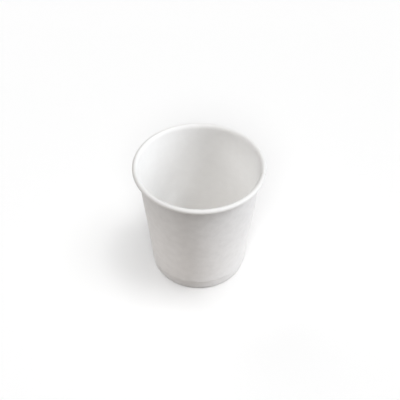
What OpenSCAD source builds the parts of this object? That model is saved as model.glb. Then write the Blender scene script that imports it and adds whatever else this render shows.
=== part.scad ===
// Small single-wall paper coffee cup, in millimetres.
// The cup stands on z = 0 with its axis on z. One sheet of board makes the wall, the rolled
// rim and the folded foot. A second, drawn piece of board makes the bottom.

/* [Cup] */
// Height over the rim
height = 61.5; // [50:0.5:120]
// Outer diameter over the rim
rim_d = 62; // [56:0.5:80]
// Outer diameter of the wall at the table
base_d = 45; // [38:0.5:50]

/* [Board] */
// Thickness of the wall board
board = 0.3; // [0.25:0.01:0.34]
// Thickness of the bottom board
bottom_board = 0.3; // [0.2:0.01:0.4]
// Gap left for the seal between two boards
seal_gap = 0.05; // [0.02:0.01:0.1]

/* [Rim] */
// Outer diameter of the rolled rim
curl_d = 2.4; // [2.2:0.1:3.4]
// Outer radius of the rolled edge inside the rim
curl_tail_r = 0.65; // [0.6:0.01:0.72]
// How far that edge turns on after the underside of the rim
curl_tail_turn = 110; // [60:5:140]
// How far the wall flares out to meet the rim
lip_flare = 0.3; // [0.1:0.05:0.5]
// Radius of that flare, on the inside of the cup
lip_r = 5; // [3:0.5:8]

/* [Side seam] */
// Width of the lap of the sheet on itself, at half height
lap_w = 6; // [4:0.5:9]
// How much shorter the outer layer of the lap is at the hem and inside the rim
lap_short = 0.2; // [0.1:0.05:0.5]
// Width over which the sheet climbs onto the lap
climb_w = 1.8; // [1:0.1:3]
// Steps of that climb
climb_steps = 5; // [3:1:8]
// Open width beside the inner edge of the lap
lap_slit = 0.1; // [0.05:0.01:0.2]
// Direction of the inner edge of the lap, from the x axis
lap_turn = -10; // [-180:5:180]

/* [Foot] */
// Height of the crimped band round the foot
band_h = 6; // [5:0.5:9]
// How far the band is pressed in at its top
band_in = 0.2; // [0.1:0.05:0.3]
// Radius of the crease over the band
crease_r = 2; // [1:0.5:4]
// Height of the hem inside the foot
hem_h = 4.6; // [3.6:0.1:4.8]
// How far the fold is pressed flat on the table
foot_press = 0.08; // [0.04:0.01:0.12]

/* [Bottom] */
// Height of the underside of the bottom over the table
bottom_h = 5.6; // [5.4:0.1:8]
// Radius inside the corner between the bottom and its skirt
corner_r = 0.4; // [0.2:0.1:0.6]
// Height of the skirt's edge over the pocket of the hem
skirt_lift = 0.3; // [0.1:0.1:1]

/* [Hidden] */
$fn = 180;
paper = "#f3f1ec";
// Most degrees, and most length, between the points of a bend
bend_step = 10;
bend_chord = 0.4;
// How far an outer layer is rooted past the middle of the sheet, per thickness of the layer
layer_root = 0.25;
// How far the steps of the climb run on into the lap, per width of the lap
climb_hold = 0.3;

// A lean is the angle of the sheet from upright, towards the outside of the cup.
// A pose is [place of the middle of the sheet, lean].
function ahead(lean) = [sin(lean), cos(lean)];
function beside(lean) = [cos(lean), -sin(lean)];

// A leg of the sheet is [length, 0] for a straight run, or [radius of its middle, turn] for a
// bend, where a positive turn rolls the sheet outwards. A part of 1 is the end of the leg.
function along(pose, leg, part) =
    leg[1] == 0 ? run_end(pose, leg[0] * part) : bend_end(pose, leg[0], leg[1] * part);
function run_end(pose, len) = [pose[0] + len * ahead(pose[1]), pose[1]];
function bend_end(pose, r, turn) =
    [pose[0] + r * sign(turn) * (beside(pose[1]) - beside(pose[1] + turn)), pose[1] + turn];

// Points of the face that lies off the middle of the sheet, over all its legs
function bend_length(leg) = leg[0] * abs(leg[1]) * PI / 180;
function leg_steps(leg) =
    leg[1] == 0 ? 1 : max(ceil(abs(leg[1]) / bend_step), ceil(bend_length(leg) / bend_chord));
function face(pose, legs, off, n = 0) =
    n == len(legs) ? [] : concat(
        [for (k = [1 : leg_steps(legs[n])])
            let (at = along(pose, legs[n], k / leg_steps(legs[n])))
            at[0] + off * beside(at[1])],
        face(along(pose, legs[n], 1), legs, off, n + 1)
    );
function whole_face(pose, legs, off) = concat([pose[0] + off * beside(pose[1])], face(pose, legs, off));

// The rim: the rolled bead, and the lean of the wall that reaches it
curl_r = curl_d / 2;
curl_centre = [rim_d / 2 - curl_r, height - curl_r];
foot_corner = [base_d / 2, 0];
foot_to_curl = curl_centre - foot_corner;
wall_lean = atan2(foot_to_curl[0], foot_to_curl[1])
    - asin((curl_r + lip_flare - board) / norm(foot_to_curl));
lip_turn = acos((lip_r - curl_r - lip_flare) / (lip_r - curl_r));
lip_lean = wall_lean + lip_turn;
lip_mid_r = lip_r - board / 2;
lip_centre = curl_centre + (lip_r - curl_r) * beside(lip_lean);
lip_start = lip_centre - lip_mid_r * beside(wall_lean);

// The foot: wall, skirt and hem stand side by side and lean alike
band_lean = atan(tan(wall_lean) - band_in / band_h);
fold_r = board + seal_gap + bottom_board / 2;
fold_mid_r = fold_r - board / 2;
fold_z = fold_r - foot_press;
fold_rise = (fold_z - fold_r * sin(band_lean)) / cos(band_lean);
fold_centre = foot_corner + fold_rise * ahead(band_lean) - fold_r * beside(band_lean);
hem_len = (hem_h - fold_z) / cos(band_lean);
band_len = (band_h - fold_z) / cos(band_lean);
hem_pose = [fold_centre - fold_mid_r * beside(band_lean) + hem_len * ahead(band_lean), band_lean + 180];

// The crease: two bends that carry the sheet from the band out to the wall
band_top = fold_centre + fold_mid_r * beside(band_lean) + band_len * ahead(band_lean);
crease_gap = (lip_start - band_top) * beside(wall_lean);
crease_in = acos((1 + cos(wall_lean - band_lean) - crease_gap / crease_r) / 2);
crease_out = crease_in + wall_lean - band_lean;
wall_foot = bend_end(bend_end([band_top, band_lean], crease_r, crease_out), crease_r, -crease_in);
wall_len = (lip_start - wall_foot[0]) * ahead(wall_lean);

// The sheet: hem, fold and band, then crease, wall, flare, rolled rim and the edge inside it
foot_legs = [[hem_len, 0], [fold_mid_r, -180], [band_len, 0]];
wall_legs = [[crease_r, crease_out], [crease_r, -crease_in], [wall_len, 0], [lip_mid_r, lip_turn]];
curl_legs = [[curl_r - board / 2, 270 - lip_lean]];
tail_mid_r = curl_tail_r - board / 2;
tail_legs = [[tail_mid_r, curl_tail_turn]];
sheet_legs = concat(foot_legs, wall_legs, curl_legs, tail_legs);

// A layer on the outside of the sheet ends short of it at the hem and inside the rim
function layer_pose(short) = run_end(hem_pose, short);
function layer_legs(short) = concat(
    [[hem_len - short, 0], foot_legs[1], foot_legs[2]],
    wall_legs,
    curl_legs,
    [[tail_mid_r, curl_tail_turn - short / tail_mid_r * 180 / PI]]
);

// The bottom: its skirt stands in the pocket, and a corner turns it into the disc
skirt_pose = [fold_centre + skirt_lift * ahead(band_lean), band_lean];
corner_mid_r = corner_r + bottom_board / 2;
corner_rise = corner_mid_r * (1 + sin(band_lean));
skirt_len = (bottom_h + bottom_board / 2 - corner_rise - skirt_pose[0][1]) / cos(band_lean);
corner_leg = [corner_mid_r, -90 - band_lean];
corner_pose = run_end(skirt_pose, skirt_len);
disc_leg = [along(corner_pose, corner_leg, 1)[0][0], 0];
bottom_legs = [[skirt_len, 0], corner_leg, disc_leg];

// The side seam, as turns about the axis
half_height_r = base_d / 2 + height / 2 * tan(wall_lean);
turn_of_mm = 180 / (PI * half_height_r);
lap_span = lap_w * turn_of_mm;
climb_span = climb_w * turn_of_mm;
slit_span = lap_slit * turn_of_mm;

// Section of the sheet between two faces, given as distances from its middle
module section(pose, legs, left, right) {
    points_left = whole_face(pose, legs, left);
    points_right = whole_face(pose, legs, right);
    last = len(points_right) - 1;
    intersection() {
        polygon(concat(points_left, [for (k = [last : -1 : 0]) points_right[k]]));
        square([rim_d, 2 * height]);
    }
}

// A layer laid on the outside of the sheet over a span of turn, rooted a little way into it
module outer_layer(from, span, thick, short) {
    rotate_extrude(angle = span, start = from)
        section(layer_pose(short), layer_legs(short), -layer_root * thick, board / 2 + thick);
}

// The slit beside the inner edge of the lap, cut through the inner layer over the band
module lap_slit_cut() {
    rotate_extrude(angle = slit_span, start = lap_turn)
        section([band_top, band_lean], concat(wall_legs, curl_legs, tail_legs), -board, board / 2);
}

module sidewall() {
    color(paper)
        difference() {
            union() {
                rotate_extrude() section(hem_pose, sheet_legs, -board / 2, board / 2);
                outer_layer(lap_turn - slit_span, lap_span + 2 * slit_span, board, lap_short);
                for (k = [1 : climb_steps]) {
                    share = k / (climb_steps + 1);
                    from = lap_turn - climb_span * (1 - (k - 1) / climb_steps);
                    span = climb_span + lap_span * climb_hold;
                    outer_layer(from, span, board * share, lap_short * (2 - share));
                }
            }
            lap_slit_cut();
        }
}

module bottom_disc() {
    color(paper)
        rotate_extrude()
            section(skirt_pose, bottom_legs, -bottom_board / 2, bottom_board / 2);
}

sidewall();
bottom_disc();
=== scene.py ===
"""Looks of the paper coffee cup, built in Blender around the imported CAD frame. All lengths are metres."""
import math

import bmesh
import bpy
import numpy as np
from mathutils import Matrix, Vector, noise


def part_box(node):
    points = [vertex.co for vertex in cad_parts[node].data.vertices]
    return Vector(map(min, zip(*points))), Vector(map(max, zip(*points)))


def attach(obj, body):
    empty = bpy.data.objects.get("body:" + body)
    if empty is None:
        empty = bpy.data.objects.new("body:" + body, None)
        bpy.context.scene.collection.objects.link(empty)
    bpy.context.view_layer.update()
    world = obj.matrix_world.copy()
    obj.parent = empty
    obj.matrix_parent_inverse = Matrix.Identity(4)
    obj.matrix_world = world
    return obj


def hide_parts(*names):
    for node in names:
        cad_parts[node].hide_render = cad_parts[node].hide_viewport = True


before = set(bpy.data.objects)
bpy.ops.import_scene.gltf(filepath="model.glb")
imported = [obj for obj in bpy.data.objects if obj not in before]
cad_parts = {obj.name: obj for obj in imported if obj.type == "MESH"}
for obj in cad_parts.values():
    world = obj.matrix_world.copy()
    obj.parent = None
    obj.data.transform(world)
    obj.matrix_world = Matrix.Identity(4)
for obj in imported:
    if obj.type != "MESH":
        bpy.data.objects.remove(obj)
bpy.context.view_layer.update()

MM = 0.001

# Sizes read from the frame
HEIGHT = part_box("sidewall")[1].z
RIM_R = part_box("sidewall")[1].y

# The board
BOARD = 0.3 * MM
BOTTOM_BOARD = 0.3 * MM
SEAL_GAP = 0.05 * MM

# The rolled rim: the bead, the rolled edge inside it, and the flare of the wall that meets it
CURL_R = 1.2 * MM
CURL_TAIL_R = 0.65 * MM
CURL_TAIL_TURN = math.radians(110)
LIP_FLARE = 0.3 * MM
LIP_R = 3.2 * MM

# The foot: the crimped band, the crease over it, the hem inside, and the fold, which is pressed flat
BASE_R = 22.5 * MM
BAND_H = 6 * MM
BAND_IN = 0.03 * MM
CREASE_R = 6 * MM
HEM_H = 4.6 * MM
FOOT_PRESS = 0.08 * MM
PRESS_H = 0.8 * MM
# Its lower edge is rolled in, and a low ridge runs round it at the top of the band
TOE_IN = 0.45 * MM
TOE_H = 1.1 * MM
RIDGE_OUT = 0.24 * MM
RIDGE_H = 5.9 * MM
RIDGE_W = 1.2 * MM

# The side seam, where the sheet laps on itself
LAP_TURN = math.radians(-10)
LAP_W = 6 * MM
LAP_GAP = 0.01 * MM
CLIMB_W = 1.8 * MM
# The inner layer's edge is pressed thin in the rim: by how much of the board, and over what width
RIM_PRESS = 0.65
RIM_PRESS_W = 2.5 * MM

# The bottom, and how far its middle is bowed down
BOTTOM_H = 5.6 * MM
CORNER_R = 0.4 * MM
SKIRT_LIFT = 0.3 * MM
BOTTOM_BOW = 0.15 * MM

# Unevenness of the wall and of the rim, as depths and as sizes of the waves, and where it fades out
WALL_WAVE = 0.05 * MM
WALL_WAVE_SIZE = 14 * MM
RIM_WAVE = 0.03 * MM
RIM_WAVE_SIZE = 9 * MM
WAVE_FADE = 5 * MM

# Fineness of the meshes: the longest steps, and the fewest steps of a straight run and at the seam
AROUND_STEP = math.radians(1.5)
BEND_STEP = math.radians(7)
RUN_STEP = 2 * MM
RUN_STEPS = 12
SEAM_STEPS = 12
MERGE_UNDER = MM / 10000

# Kinds of faces, which are also their materials' places
INSIDE, OUTSIDE, CUT = 0, 1, 2


def ahead(lean):
    """Direction in which a sheet runs, as (outwards, up), for its lean from upright."""
    return np.array([math.sin(lean), math.cos(lean)])


def beside(lean):
    """Direction out of the right face of a sheet with that lean."""
    return np.array([math.cos(lean), -math.sin(lean)])


def lean_of(vector):
    """Lean of a direction given as (outwards, up)."""
    return math.atan2(vector[0], vector[1])


def leg_end(place, lean, leg, part=1):
    """Place and lean at a part of a leg: (length, 0) is a straight run, and (radius, turn) is a
    bend, where a positive turn rolls the sheet outwards."""
    size, turn = leg
    if turn == 0:
        return place + size * part * ahead(lean), lean
    side = math.copysign(size, turn)
    return place + side * (beside(lean) - beside(lean + turn * part)), lean + turn * part


def walk(place, lean, legs):
    """Places along the middle of a sheet, and the direction out of its right face at each."""
    places, leans = [place], [lean]
    for size, turn in legs:
        run_steps = max(RUN_STEPS, math.ceil(size / RUN_STEP))
        steps = math.ceil(abs(turn) / BEND_STEP) if turn else run_steps
        for k in range(1, steps + 1):
            at, at_lean = leg_end(place, lean, (size, turn), k / steps)
            places.append(at)
            leans.append(at_lean)
        place, lean = places[-1], leans[-1]
    return np.array(places), np.array([beside(at) for at in leans])


def smooth(x):
    """Smooth step from 0 to 1."""
    x = np.clip(x, 0, 1)
    return x * x * (3 - 2 * x)


# Lines that the two pieces share: the lean of the wall, the lean of the band and the fold at its foot
CURL_CENTRE = np.array([RIM_R - CURL_R, HEIGHT - CURL_R])
FOOT_TO_CURL = CURL_CENTRE - np.array([BASE_R, 0])
WALL_TO_CURL = CURL_R + LIP_FLARE - BOARD
WALL_LEAN = lean_of(FOOT_TO_CURL) - math.asin(WALL_TO_CURL / np.linalg.norm(FOOT_TO_CURL))
BAND_LEAN = math.atan(math.tan(WALL_LEAN) - BAND_IN / BAND_H)
FOLD_R = BOARD + SEAL_GAP + BOTTOM_BOARD / 2
FOLD_Z = FOLD_R - FOOT_PRESS
FOLD_RISE = (FOLD_Z - FOLD_R * math.sin(BAND_LEAN)) / math.cos(BAND_LEAN)
FOLD_CENTRE = np.array([BASE_R, 0]) + FOLD_RISE * ahead(BAND_LEAN) - FOLD_R * beside(BAND_LEAN)


def sheet_path():
    """The sheet's section from the edge of the hem, round the fold, up the wall and round the rim."""
    fold_mid_r = FOLD_R - BOARD / 2
    hem_len = (HEM_H - FOLD_Z) / math.cos(BAND_LEAN)
    band_len = (BAND_H - FOLD_Z) / math.cos(BAND_LEAN)
    hem_top = FOLD_CENTRE - fold_mid_r * beside(BAND_LEAN) + hem_len * ahead(BAND_LEAN)
    band_top = FOLD_CENTRE + fold_mid_r * beside(BAND_LEAN) + band_len * ahead(BAND_LEAN)

    lip_turn = math.acos((LIP_R - CURL_R - LIP_FLARE) / (LIP_R - CURL_R))
    lip_lean = WALL_LEAN + lip_turn
    lip_mid_r = LIP_R - BOARD / 2
    lip_centre = CURL_CENTRE + (LIP_R - CURL_R) * beside(lip_lean)
    lip_start = lip_centre - lip_mid_r * beside(WALL_LEAN)

    crease_gap = (lip_start - band_top) @ beside(WALL_LEAN)
    crease_in = math.acos((1 + math.cos(WALL_LEAN - BAND_LEAN) - crease_gap / CREASE_R) / 2)
    crease_out = crease_in + WALL_LEAN - BAND_LEAN
    over_crease = leg_end(*leg_end(band_top, BAND_LEAN, (CREASE_R, crease_out)), (CREASE_R, -crease_in))
    wall_len = (lip_start - over_crease[0]) @ ahead(WALL_LEAN)

    return walk(hem_top, BAND_LEAN + math.pi, [
        (hem_len, 0),
        (fold_mid_r, -math.pi),
        (band_len, 0),
        (CREASE_R, crease_out),
        (CREASE_R, -crease_in),
        (wall_len, 0),
        (lip_mid_r, lip_turn),
        (CURL_R - BOARD / 2, 1.5 * math.pi - lip_lean),
        (CURL_TAIL_R - BOARD / 2, CURL_TAIL_TURN),
    ])


def bottom_path():
    """The bottom's section from the edge of its skirt, up and over the corner to the axis."""
    corner = (CORNER_R + BOTTOM_BOARD / 2, -math.pi / 2 - BAND_LEAN)
    corner_rise = corner[0] * (1 + math.sin(BAND_LEAN))
    skirt_foot = FOLD_CENTRE + SKIRT_LIFT * ahead(BAND_LEAN)
    skirt_len = (BOTTOM_H + BOTTOM_BOARD / 2 - corner_rise - skirt_foot[1]) / math.cos(BAND_LEAN)
    skirt_top = leg_end(skirt_foot, BAND_LEAN, (skirt_len, 0))
    disc_r = leg_end(*skirt_top, corner)[0][0]
    return walk(skirt_foot, BAND_LEAN, [(skirt_len, 0), corner, (disc_r, 0)])


def in_rim(z):
    """How much a height belongs to the rim: 0 from a bead's height under the bead, 1 in the bead."""
    bead_h = 2 * CURL_R
    return smooth((z - HEIGHT + 2 * bead_h) / bead_h)


def wave(place, size):
    """Smooth unevenness from about -1 to 1, with waves of that size."""
    return noise.noise(Vector(place) / size)


def uneven(radius, z, turn):
    """Moves a place of the sheet a little, as rolled board does: its wall in and out, its rim down."""
    place = (radius * math.cos(turn), radius * math.sin(turn), z)
    on_wall = smooth((z - BAND_H) / WAVE_FADE) * smooth((HEIGHT - 2 * CURL_R - z) / WAVE_FADE)
    rim_place = (RIM_R * math.cos(turn), RIM_R * math.sin(turn), 0)
    return radius + WALL_WAVE * on_wall * wave(place, WALL_WAVE_SIZE), \
        z + RIM_WAVE * in_rim(z) * (wave(rim_place, RIM_WAVE_SIZE) - 1) / 2


def pressed(z, cover):
    """Heights near the table, flattened by the press. The fold is thicker where the lap covers it."""
    lowest = -FOOT_PRESS - cover * (BOARD + LAP_GAP)
    squeezed = PRESS_H * (z - lowest) / (PRESS_H - lowest)
    flat = np.maximum(z, 0) * (1 - cover) + squeezed * cover
    return np.where(z < PRESS_H, flat, z)


def crimped(radius, z):
    """Radii with the outside of the foot rolled in at its lower edge, which stands free of the table, and
    pressed out into the ridge. The hem inside the fold stays where it is."""
    out_of_fold = radius - FOLD_CENTRE[0] - (z - FOLD_CENTRE[1]) * math.tan(BAND_LEAN)
    toe = TOE_IN * (1 - np.clip(z / TOE_H, 0, 1)) ** 2
    ridge = RIDGE_OUT * np.exp(-((z - RIDGE_H) / RIDGE_W) ** 2)
    toe_share = np.clip(out_of_fold / FOLD_R, 0, 1)
    ridge_share = np.clip(out_of_fold / (FOLD_R - BOARD), 0, 1)
    return radius + ridge * ridge_share - toe * toe_share


def seam_turns():
    """Turns of the sheet's columns, how far each has climbed onto the lap, how far the lap covers it, and
    how far its rim is pressed thin."""
    half_height_r = BASE_R + HEIGHT / 2 * math.tan(WALL_LEAN)
    lap = LAP_W / half_height_r
    climb = CLIMB_W / half_height_r
    climb_from = LAP_TURN + 2 * math.pi - climb
    rim_press = RIM_PRESS_W / RIM_R
    plain = math.ceil((climb_from - LAP_TURN) / AROUND_STEP)
    turns = np.concatenate([
        np.linspace(LAP_TURN, LAP_TURN + rim_press, SEAM_STEPS, endpoint=False),
        np.linspace(LAP_TURN + rim_press, climb_from, plain, endpoint=False),
        np.linspace(climb_from, climb_from + climb, SEAM_STEPS, endpoint=False),
        np.linspace(climb_from + climb, climb_from + climb + lap, SEAM_STEPS + 1),
    ])
    climbed = smooth((turns - climb_from) / climb)
    covered = np.maximum(climbed, 1 - smooth((turns - LAP_TURN - lap) / climb))
    pressed_in = 1 - smooth((turns - LAP_TURN) / rim_press)
    return turns, climbed, covered, pressed_in


def turned(section, turn):
    """A section's points, as (radius, z), placed at a turn about the axis."""
    return [(radius * math.cos(turn), radius * math.sin(turn), z) for radius, z in section]


def finish_mesh(name, points, faces, kinds, materials):
    """Makes a piece with outward faces, smooth except round the cut edges."""
    mesh = bpy.data.meshes.new(name)
    mesh.from_pydata(points, [], faces)
    mesh.polygons.foreach_set("material_index", kinds)
    for material in materials:
        mesh.materials.append(material)
    form = bmesh.new()
    form.from_mesh(mesh)
    bmesh.ops.remove_doubles(form, verts=form.verts, dist=MERGE_UNDER)
    bmesh.ops.recalc_face_normals(form, faces=form.faces)
    for face in form.faces:
        face.smooth = True
    for edge in form.edges:
        kinds_here = {face.material_index for face in edge.link_faces}
        edge.smooth = not (CUT in kinds_here and len(kinds_here) > 1)
    form.to_mesh(mesh)
    form.free()
    piece = bpy.data.objects.new(name, mesh)
    bpy.context.scene.collection.objects.link(piece)
    return piece


def loft(columns, sides, closed):
    """Faces of a sheet between its columns, and their kinds. Each column holds its left face, then its right
    face backwards, and sides gives the kinds of those two."""
    count = len(columns[0])
    half = count // 2
    faces, kinds = [], []
    for c in range(len(columns) if closed else len(columns) - 1):
        here, there = c * count, (c + 1) % len(columns) * count
        for p in range(count):
            q = (p + 1) % count
            if closed and p == half - 1:
                continue
            faces.append((here + p, here + q, there + q, there + p))
            kinds.append(CUT if p in (half - 1, count - 1) else sides[p >= half])
    if not closed:
        for start in (0, (len(columns) - 1) * count):
            for p in range(half - 1):
                faces.append((start + p, start + p + 1, start + count - 2 - p, start + count - 1 - p))
                kinds.append(CUT)
    return faces, kinds


def make_cup_wall(materials):
    """One sheet: hem, fold, band, wall and rolled rim, wound once round and lapped on itself."""
    middle, right = sheet_path()
    rim_share = in_rim(middle[:, 1])[:, None]
    columns = []
    for turn, climb, cover, press in zip(*seam_turns()):
        base = np.array([uneven(radius, z, turn) for radius, z in middle])
        base += climb * (BOARD + LAP_GAP) * right
        left_face = base - BOARD * (1 / 2 - RIM_PRESS * press * rim_share) * right
        section = np.concatenate([left_face, (base + BOARD / 2 * right)[::-1]])
        section[:, 1] = pressed(section[:, 1], cover)
        section[:, 0] = crimped(section[:, 0], section[:, 1])
        columns.append(turned(section, turn))
    faces, kinds = loft(columns, (INSIDE, OUTSIDE), closed=False)
    return finish_mesh("cup_wall", [p for column in columns for p in column], faces, kinds, materials)


def make_cup_bottom(materials):
    """The drawn pan: a disc bowed a little, a round corner and a skirt that stands in the fold."""
    middle, right = bottom_path()
    # The skirt's right face looks outwards, by about 1, and the disc's looks up, by about 0
    on_disc = right[:, 0] < 1 / 2
    middle[:, 1] -= BOTTOM_BOW * smooth(1 - middle[:, 0] / middle[:, 0].max()) * on_disc
    section = np.concatenate([middle - BOTTOM_BOARD / 2 * right, (middle + BOTTOM_BOARD / 2 * right)[::-1]])
    section[:, 0] = np.maximum(section[:, 0], 0)
    turns = np.arange(0, 2 * math.pi - AROUND_STEP / 2, AROUND_STEP)
    columns = [turned(section, turn) for turn in turns]
    faces, kinds = loft(columns, (OUTSIDE, INSIDE), closed=True)
    return finish_mesh("cup_bottom", [p for column in columns for p in column], faces, kinds, materials)


def add_node(tree, kind, inputs=None, **settings):
    """A shader node with its settings and inputs. An input that is another node's socket is linked."""
    node = tree.nodes.new(kind)
    for key, value in settings.items():
        setattr(node, key, value)
    for key, value in (inputs or {}).items():
        if isinstance(value, bpy.types.NodeSocket):
            tree.links.new(value, node.inputs[key])
        else:
            node.inputs[key].default_value = value
    return node


# Places of a colour mix's sockets, several of which bear the same name
MIX_SHARE, MIX_ONE, MIX_OTHER, MIX_RESULT = 0, 6, 7, 2


def mix_colours(tree, share, one, other):
    """The colour between two colours, as a socket. Each of them can be a socket too."""
    mix = add_node(tree, "ShaderNodeMix", data_type="RGBA", clamp_factor=True)
    for place, value in ((MIX_SHARE, share), (MIX_ONE, one), (MIX_OTHER, other)):
        if isinstance(value, bpy.types.NodeSocket):
            tree.links.new(value, mix.inputs[place])
        else:
            mix.inputs[place].default_value = value
    return mix.outputs[MIX_RESULT]


def new_material(name):
    """A material with an empty node tree, its output and a Principled shader."""
    material = bpy.data.materials.new(name)
    material.use_nodes = True
    tree = material.node_tree
    tree.nodes.clear()
    output = add_node(tree, "ShaderNodeOutputMaterial")
    shader = add_node(tree, "ShaderNodeBsdfPrincipled")
    tree.links.new(shader.outputs[0], output.inputs["Surface"])
    return material, tree, shader


# The board's face: how strongly it mirrors, where 0.5 is plain plastic, how many clouds and fibres it has
# to a metre, and how much its roughness varies
BOARD_GLOSS = 0.25
CLOUDS = 0.3 / MM
FIBRES = 2.2 / MM
ROUGHNESS_SPREAD = 0.05


def board_material(name, colour, roughness, fibre_depth, mottle_depth, cloud_share):
    """Board: cloudy formation in its colour, fine fibres and slow mottling in its surface."""
    material, tree, shader = new_material(name)
    place = add_node(tree, "ShaderNodeTexCoord").outputs["Object"]
    cloud = add_node(tree, "ShaderNodeTexNoise", {"Vector": place, "Scale": CLOUDS, "Detail": 4.0})
    fibre = add_node(tree, "ShaderNodeTexNoise", {"Vector": place, "Scale": FIBRES, "Detail": 3.0})
    light = [min(c * (1 + cloud_share), 1) for c in colour]
    dark = [c * (1 - cloud_share) for c in colour]
    mixed = mix_colours(tree, cloud.outputs[0], (*dark, 1), (*light, 1))
    tree.links.new(mixed, shader.inputs["Base Color"])
    shader.inputs["Specular IOR Level"].default_value = BOARD_GLOSS
    rough = add_node(tree, "ShaderNodeMapRange", {
        "Value": fibre.outputs[0], "From Min": 0.3, "From Max": 0.7,
        "To Min": roughness - ROUGHNESS_SPREAD, "To Max": roughness + ROUGHNESS_SPREAD,
    })
    tree.links.new(rough.outputs[0], shader.inputs["Roughness"])
    mottle = add_node(tree, "ShaderNodeBump", {
        "Strength": 1.0, "Distance": mottle_depth, "Height": cloud.outputs[0],
    })
    fine = add_node(tree, "ShaderNodeBump", {
        "Strength": 1.0, "Distance": fibre_depth, "Height": fibre.outputs[0], "Normal": mottle.outputs[0],
    })
    tree.links.new(fine.outputs[0], shader.inputs["Normal"])
    return material


# The table: its width, its colour as the camera and reflections see it, and its colours as it lights the cup.
# Those colours are painted light and shade in the light it sends back. A painted pool of light lies in a ring
# round the cup, with painted shade at the foot, and the table is dark far away where the painted pool fades
# out.
# Each change lies between two distances from the cup's axis.
TABLE_SIZE = 6
TABLE_SEEN = (0.99, 0.99, 0.99, 1)
TABLE_FOOT_PAINTED_SHADE = (0.46, 0.43, 0.41, 1)
TABLE_PAINTED_LIGHT_POOL = (0.77, 0.72, 0.68, 1)
TABLE_BEYOND_PAINTED_POOL = (0.05, 0.05, 0.05, 1)
FOOT_SHADE_TO_POOL = (22 * MM, 42 * MM)
PAINTED_POOL_FADE = (130 * MM, 190 * MM)


def seen_rays(tree):
    """1 for rays of the camera and for those that a reflection or a clear thing sends on, else 0."""
    path = add_node(tree, "ShaderNodeLightPath")
    seen = add_node(tree, "ShaderNodeMath", {
        0: path.outputs["Is Camera Ray"], 1: path.outputs["Is Glossy Ray"],
    })
    return add_node(tree, "ShaderNodeMath", {
        0: seen.outputs[0], 1: path.outputs["Is Transmission Ray"],
    }, use_clamp=True).outputs[0]


def make_table():
    """A pale table that looks white and keeps the cup's shadow."""
    bpy.ops.mesh.primitive_plane_add(size=TABLE_SIZE)
    table = bpy.context.object
    table.name = "table"
    material, tree, shader = new_material("table_white")
    place = add_node(tree, "ShaderNodeTexCoord").outputs["Object"]
    distance = add_node(tree, "ShaderNodeVectorMath", {0: place}, operation="LENGTH")
    # The colour with which the table lights the cup is painted: shade at the foot, a pool of light round it,
    # dark far away
    shade_and_pool_shares = [add_node(tree, "ShaderNodeMapRange", {
        "Value": distance.outputs["Value"], "From Min": start, "From Max": end,
    }, interpolation_type="SMOOTHSTEP").outputs[0] for start, end in (FOOT_SHADE_TO_POOL, PAINTED_POOL_FADE)]
    painted_light_colour = mix_colours(tree, shade_and_pool_shares[1], mix_colours(tree, shade_and_pool_shares[0], TABLE_FOOT_PAINTED_SHADE, TABLE_PAINTED_LIGHT_POOL), TABLE_BEYOND_PAINTED_POOL)
    seen = mix_colours(tree, seen_rays(tree), painted_light_colour, TABLE_SEEN)
    tree.links.new(seen, shader.inputs["Base Color"])
    shader.inputs["Roughness"].default_value = 1.0
    shader.inputs["Specular IOR Level"].default_value = 0.0
    table.data.materials.append(material)
    return table


# Direction of the light on the cup from its right, a little to the front, and the tints of the lamps
KEY_AZIMUTH = -13
NEUTRAL = (1, 1, 1)
COOL = (0.98, 1.0, 1.03)
WARM = (1.05, 1.0, 0.955)


def group_of(name, things):
    """A named group, for the lamps that light only these things."""
    group = bpy.data.collections.new(name)
    for thing in things:
        group.objects.link(thing)
    return group


def add_sun(name, lit, azimuth, elevation, width, strength, colour=NEUTRAL):
    """A soft far lamp for one group. The angles are degrees: azimuth is from the x axis, and width is the
    lamp's width in the sky."""
    lamp = bpy.data.lights.new(name, "SUN")
    lamp.energy = strength
    lamp.color = colour
    lamp.angle = math.radians(width)
    sun = bpy.data.objects.new(name, lamp)
    a, e = math.radians(azimuth), math.radians(elevation)
    towards = Vector((math.cos(a) * math.cos(e), math.sin(a) * math.cos(e), math.sin(e)))
    sun.rotation_euler = towards.to_track_quat("Z", "Y").to_euler()
    bpy.context.scene.collection.objects.link(sun)
    sun.light_linking.receiver_collection = lit


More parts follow.
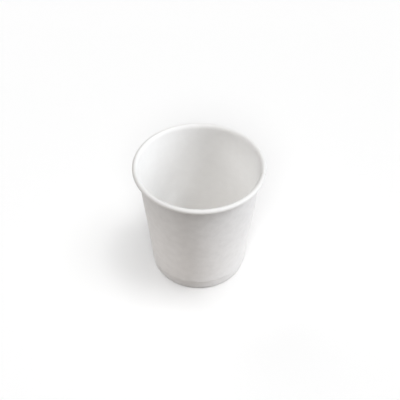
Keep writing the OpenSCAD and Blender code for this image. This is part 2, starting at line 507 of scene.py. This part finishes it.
def make_lights(cup, table):
    """Soft lamps: a set for the cup, from its right and from the front left, and a set for the table, mostly
    from above and in front. Under each set a face that looks up shows its colour about as written. The room
    is white, and shows only to the camera and in reflections."""
    add_sun("cup_right_low", cup, azimuth=KEY_AZIMUTH, elevation=15, width=20, strength=0.86, colour=COOL)
    add_sun("cup_right", cup, azimuth=KEY_AZIMUTH, elevation=30, width=15, strength=0.6, colour=COOL)
    add_sun("cup_right_high", cup, azimuth=KEY_AZIMUTH, elevation=52, width=15, strength=1.28, colour=COOL)
    add_sun("cup_left", cup, azimuth=188, elevation=32, width=30, strength=0.71)
    add_sun("cup_front_left", cup, azimuth=240, elevation=50, width=30, strength=0.46, colour=WARM)
    add_sun("cup_front_high", cup, azimuth=230, elevation=70, width=20, strength=0.54, colour=WARM)
    add_sun("table_top", table, azimuth=0, elevation=85, width=30, strength=1.05)
    add_sun("table_right", table, azimuth=-6, elevation=66, width=30, strength=0.7)
    add_sun("table_front", table, azimuth=-92, elevation=43, width=30, strength=1.42)
    add_sun("table_left", table, azimuth=195, elevation=62, width=30, strength=0.3)
    add_sun("table_back_left", table, azimuth=125, elevation=45, width=30, strength=0.3)
    world = bpy.data.worlds.new("world")
    world.use_nodes = True
    bpy.context.scene.world = world
    background = world.node_tree.nodes["Background"]
    background.inputs["Color"].default_value = (1, 1, 1, 1)
    world.node_tree.links.new(seen_rays(world.node_tree), background.inputs["Strength"])


# The photograph's camera. Its focal length is in widths of the picture.
CAMERA_FAR = 420 * MM
CAMERA_ELEVATION = math.radians(44.95)
CAMERA_ROLL = math.radians(0.40)
CAMERA_FOCAL = 2.1645
CAMERA_AIM = Vector((0.45 * MM, 0, 38.7 * MM))


def make_camera():
    """A camera in front of the cup that looks down on it."""
    data = bpy.data.cameras.new("camera")
    data.lens = CAMERA_FOCAL * data.sensor_width
    camera = bpy.data.objects.new("camera", data)
    bpy.context.scene.collection.objects.link(camera)
    back = Vector((0, -math.cos(CAMERA_ELEVATION), math.sin(CAMERA_ELEVATION)))
    place = Vector((0, 0, HEIGHT / 2)) + CAMERA_FAR * back
    look = (CAMERA_AIM - place).to_track_quat("-Z", "Y").to_matrix().to_4x4()
    camera.matrix_world = Matrix.Translation(place) @ look @ Matrix.Rotation(CAMERA_ROLL, 4, "Z")
    bpy.context.scene.camera = camera


outside = board_material(
    "board_outside", (0.88, 0.88, 0.88),
    roughness=0.62, fibre_depth=0.008 * MM, mottle_depth=0.1 * MM, cloud_share=0.07,
)
inside = board_material(
    "board_inside", (0.967, 0.963, 0.953),
    roughness=0.5, fibre_depth=0.004 * MM, mottle_depth=0.035 * MM, cloud_share=0.035,
)
edge = board_material(
    "board_edge", (0.80, 0.78, 0.73),
    roughness=0.85, fibre_depth=0.02 * MM, mottle_depth=0.02 * MM, cloud_share=0.03,
)

wall = make_cup_wall([inside, outside, edge])
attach(wall, "root")
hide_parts("sidewall")

bottom = make_cup_bottom([inside, outside, edge])
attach(bottom, "root")
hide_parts("bottom_disc")

table = make_table()
make_lights(group_of("cup", [wall, bottom]), group_of("stage", [table]))
make_camera()

bpy.context.scene.view_settings.view_transform = "Standard"
